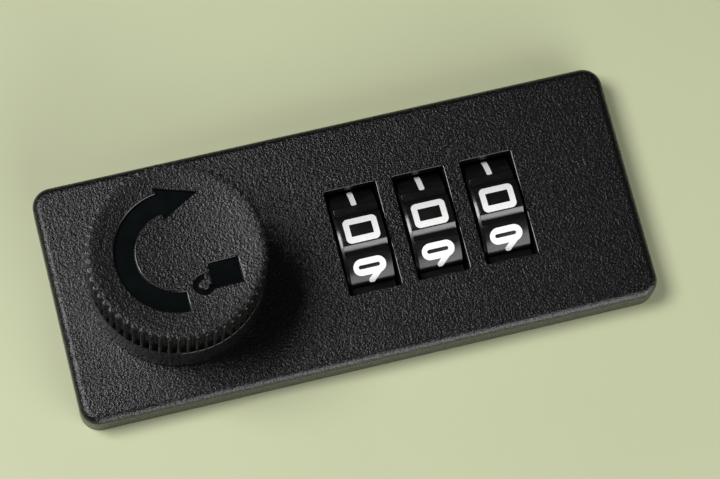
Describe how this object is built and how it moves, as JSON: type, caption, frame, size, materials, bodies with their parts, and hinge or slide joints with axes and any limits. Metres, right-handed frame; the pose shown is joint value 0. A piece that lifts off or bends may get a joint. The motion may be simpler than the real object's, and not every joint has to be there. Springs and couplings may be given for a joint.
{
  "type": "combination knob lock",
  "caption": "Panel-mounted combination knob lock: a rectangular plate with a knurled quarter-turn knob and number wheels in slots, with a case, clamps and cam behind.",
  "frame": {"origin": "centre of the face plate's back face, on the front of the panel", "axes": "+X from the knob to the number wheels, +Y towards the top of the digits, +Z out of the panel towards the user"},
  "size_m": [0.0796, 0.0328, 0.0384],
  "materials": {
    "plate_black": "fine spark-eroded grain, black",
    "knob_black": "fine grain on the top, knurled side, black",
    "wheel_black": "semi-gloss black with white numerals",
    "case_plastic": "plain moulded black plastic",
    "zinc_cast": "as-cast zinc, satin",
    "steel": "bright zinc-plated steel",
    "spring_steel": "spring steel",
    "brass": "turned brass",
    "nylon": "natural nylon"
  },
  "bodies": {
    "lock_body": {"face_plate": "plate_black", "case": "case_plastic", "case_screw_1": "steel", "case_screw_2": "steel", "case_screw_3": "steel", "case_screw_4": "steel", "wheel_axle": "steel", "thrust_washer": "spring_steel", "reset_spring": "spring_steel", "fence_spring": "spring_steel", "detent_spring": "spring_steel", "clamp_bracket_1": "steel", "clamp_bracket_2": "steel", "clamp_screw_1": "steel", "clamp_screw_2": "steel"},
    "knob_assembly": {"knob": "knob_black", "knob_washer": "nylon", "knob_screw": "steel", "rotor": "zinc_cast", "cam": "steel", "cam_washer": "spring_steel", "cam_nut": "steel"},
    "fence_bar": {"fence": "zinc_cast"},
    "reset_tab": {"reset_slider": "nylon"},
    "wheel_1": {"number_wheel_1": "wheel_black"},
    "sleeve_1": {"code_sleeve_1": "brass"},
    "wheel_2": {"number_wheel_2": "wheel_black"},
    "sleeve_2": {"code_sleeve_2": "brass"},
    "wheel_3": {"number_wheel_3": "wheel_black"},
    "sleeve_3": {"code_sleeve_3": "brass"}
  },
  "joints": [
    {"name": "knob_turn", "type": "hinge", "parent": "lock_body", "child": "knob_assembly", "pos_m": [-0.02057, 0, 0], "axis": [0, 0, -1], "range_deg": [0, 90]},
    {"name": "fence_slide", "type": "slide", "parent": "lock_body", "child": "fence_bar", "axis": [1, 0, 0], "range_m": [0, 0.00176], "deforming": ["fence_spring"]},
    {"name": "reset_slide", "type": "slide", "parent": "lock_body", "child": "reset_tab", "axis": [-1, 0, 0], "range_m": [0, 0.0018], "stiffness_N_per_m": 400, "springref_m": -0.0025, "deforming": ["reset_spring"]},
    {"name": "wheel_1_turn", "type": "hinge", "parent": "lock_body", "child": "wheel_1", "pos_m": [0.002, 0, -0.0027], "axis": [1, 0, 0], "continuous": true},
    {"name": "sleeve_1_slide", "type": "slide", "parent": "wheel_1", "child": "sleeve_1", "axis": [-1, 0, 0], "range_m": [0, 0.0018]},
    {"name": "wheel_2_turn", "type": "hinge", "parent": "lock_body", "child": "wheel_2", "pos_m": [0.01035, 0, -0.0027], "axis": [1, 0, 0], "continuous": true},
    {"name": "sleeve_2_slide", "type": "slide", "parent": "wheel_2", "child": "sleeve_2", "axis": [-1, 0, 0], "range_m": [0, 0.0018]},
    {"name": "wheel_3_turn", "type": "hinge", "parent": "lock_body", "child": "wheel_3", "pos_m": [0.0187, 0, -0.0027], "axis": [1, 0, 0], "continuous": true},
    {"name": "sleeve_3_slide", "type": "slide", "parent": "wheel_3", "child": "sleeve_3", "axis": [-1, 0, 0], "range_m": [0, 0.0018]}
  ],
  "couplings": [
    {"joint": "fence_slide", "follows": "knob_turn", "m_per_rad": 0.00112},
    {"joint": "sleeve_1_slide", "follows": "reset_slide", "ratio": 1},
    {"joint": "sleeve_2_slide", "follows": "reset_slide", "ratio": 1},
    {"joint": "sleeve_3_slide", "follows": "reset_slide", "ratio": 1}
  ]
}
